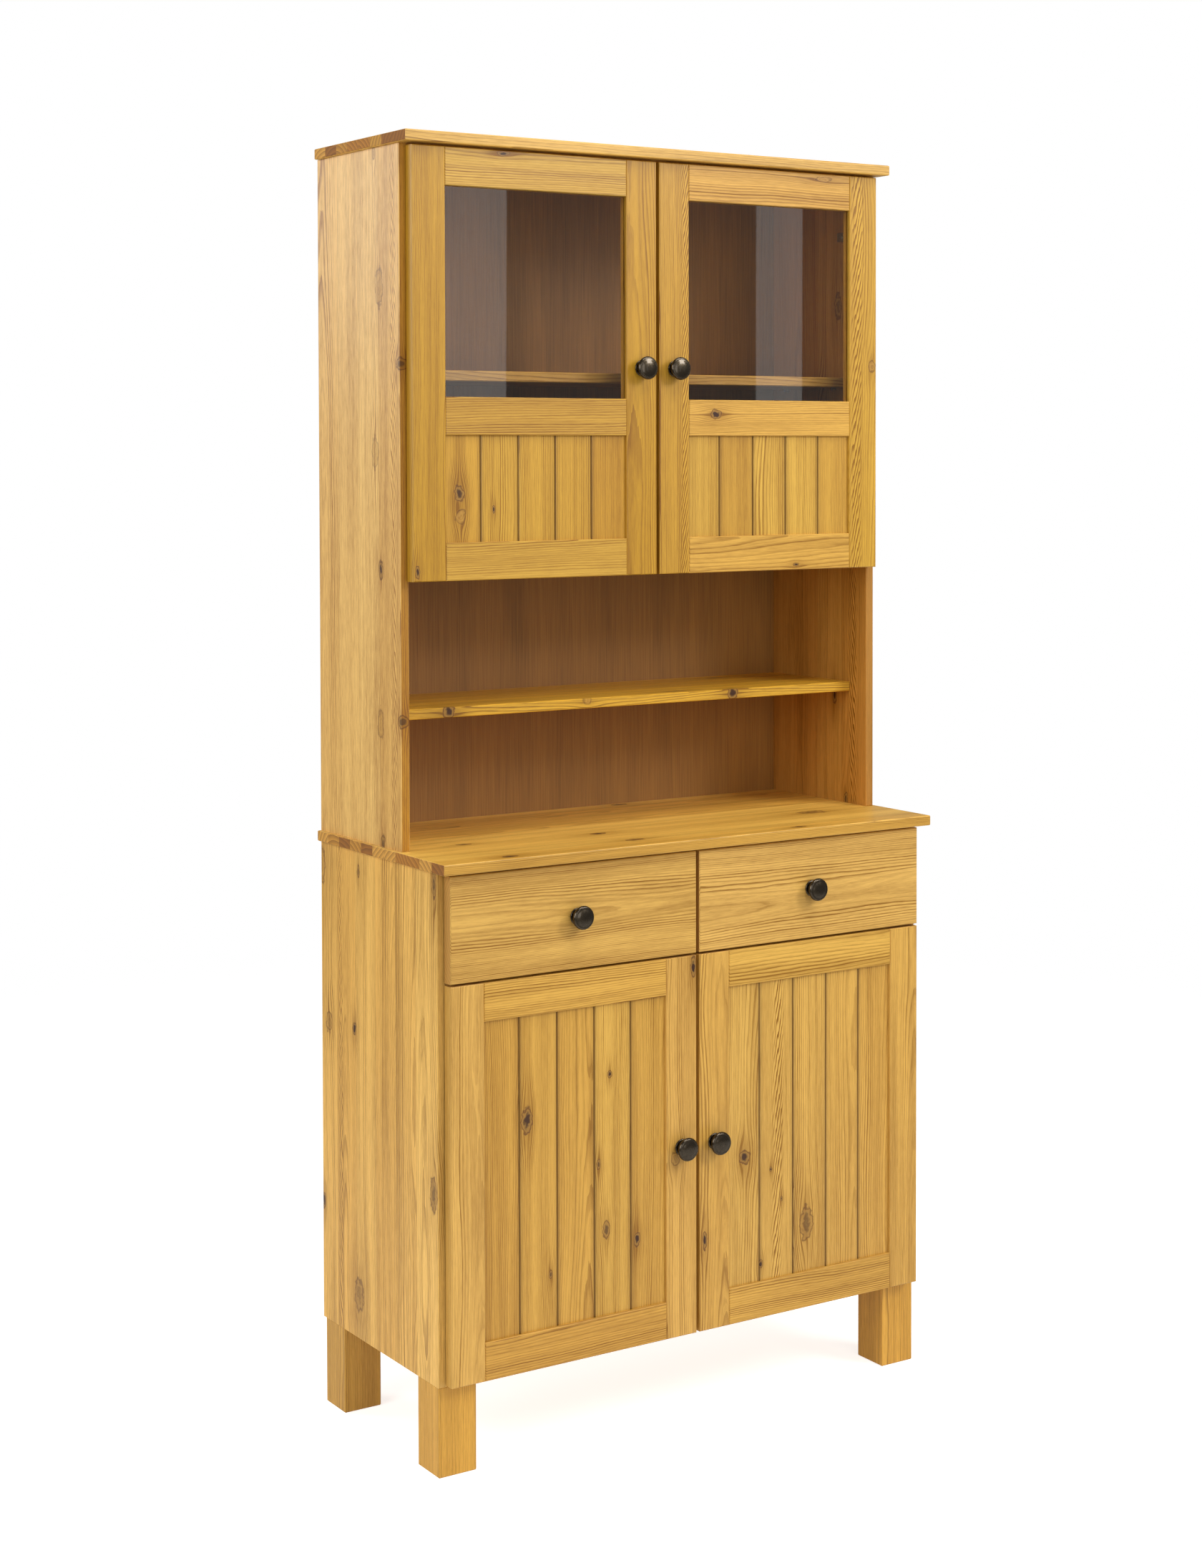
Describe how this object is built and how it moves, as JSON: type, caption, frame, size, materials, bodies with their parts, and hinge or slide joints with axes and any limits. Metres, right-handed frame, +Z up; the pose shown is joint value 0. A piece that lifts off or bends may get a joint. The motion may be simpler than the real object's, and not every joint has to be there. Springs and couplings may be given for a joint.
{
  "type": "dresser with hutch",
  "caption": "Solid pine dresser: cupboard and drawers on square legs, with an open niche and a glazed cabinet above.",
  "frame": {"origin": "on the floor, below the middle of the dresser's bounding box, knobs included", "axes": "+Z up, +X to the right of someone who faces the dresser, the front faces -Y"},
  "size_m": [0.874, 0.4014, 1.9],
  "materials": {
    "pine": "clear satin lacquer over solid pine",
    "back_panel": "thin panel with a dark brown wood-grain face",
    "hardboard": "smooth hardboard",
    "beech": "planed hardwood",
    "glass": "clear float glass",
    "knob_metal": "dark bronzed, glossy",
    "hardware_steel": "nickel-plated steel"
  },
  "bodies": {
    "root": {"base_back": "back_panel", "base_floor": "pine", "base_shelf": "pine", "base_side_left": "pine", "base_side_right": "pine", "cabinet_floor": "pine", "cabinet_shelf": "pine", "cornice": "pine", "counter_top": "pine", "drawer_board": "pine", "drawer_divider": "pine", "hinge_arms": "hardware_steel", "hutch_back": "back_panel", "hutch_side_left": "pine", "hutch_side_right": "pine", "left_drawer_runners": "beech", "leg_front_left": "pine", "leg_front_right": "pine", "leg_rear_left": "pine", "leg_rear_right": "pine", "niche_shelf": "pine", "right_drawer_runners": "beech", "shelf_pins": "hardware_steel"},
    "upper_left_door": {"upper_left_door_glass": "glass", "upper_left_door_glass_beads": "pine", "upper_left_door_hinge_cups": "hardware_steel", "upper_left_door_knob": "knob_metal", "upper_left_door_planks": "pine", "upper_left_door_rails": "pine", "upper_left_door_stiles": "pine"},
    "upper_right_door": {"upper_right_door_glass": "glass", "upper_right_door_glass_beads": "pine", "upper_right_door_hinge_cups": "hardware_steel", "upper_right_door_knob": "knob_metal", "upper_right_door_planks": "pine", "upper_right_door_rails": "pine", "upper_right_door_stiles": "pine"},
    "lower_left_door": {"lower_left_door_hinge_cups": "hardware_steel", "lower_left_door_knob": "knob_metal", "lower_left_door_planks": "pine", "lower_left_door_rails": "pine", "lower_left_door_stiles": "pine"},
    "lower_right_door": {"lower_right_door_hinge_cups": "hardware_steel", "lower_right_door_knob": "knob_metal", "lower_right_door_planks": "pine", "lower_right_door_rails": "pine", "lower_right_door_stiles": "pine"},
    "left_drawer": {"left_drawer_back": "pine", "left_drawer_bottom": "hardboard", "left_drawer_front": "pine", "left_drawer_knob": "knob_metal", "left_drawer_sides": "pine"},
    "right_drawer": {"right_drawer_back": "pine", "right_drawer_bottom": "hardboard", "right_drawer_front": "pine", "right_drawer_knob": "knob_metal", "right_drawer_sides": "pine"}
  },
  "joints": [
    {"name": "upper_left_door_hinge", "type": "hinge", "parent": "root", "child": "upper_left_door", "pos_m": [-0.4205, -0.05775, 1.57025], "axis": [0, 0, -1], "range_deg": [0, 95]},
    {"name": "upper_right_door_hinge", "type": "hinge", "parent": "root", "child": "upper_right_door", "pos_m": [0.4205, -0.05775, 1.57025], "axis": [0, 0, 1], "range_deg": [0, 95]},
    {"name": "lower_left_door_hinge", "type": "hinge", "parent": "root", "child": "lower_left_door", "pos_m": [-0.4205, -0.16075, 0.4155], "axis": [0, 0, -1], "range_deg": [0, 95]},
    {"name": "lower_right_door_hinge", "type": "hinge", "parent": "root", "child": "lower_right_door", "pos_m": [0.4205, -0.16075, 0.4155], "axis": [0, 0, 1], "range_deg": [0, 95]},
    {"name": "left_drawer_slide", "type": "slide", "parent": "root", "child": "left_drawer", "axis": [0, -1, 0], "range_m": [0, 0.24]},
    {"name": "right_drawer_slide", "type": "slide", "parent": "root", "child": "right_drawer", "axis": [0, -1, 0], "range_m": [0, 0.24]}
  ]
}
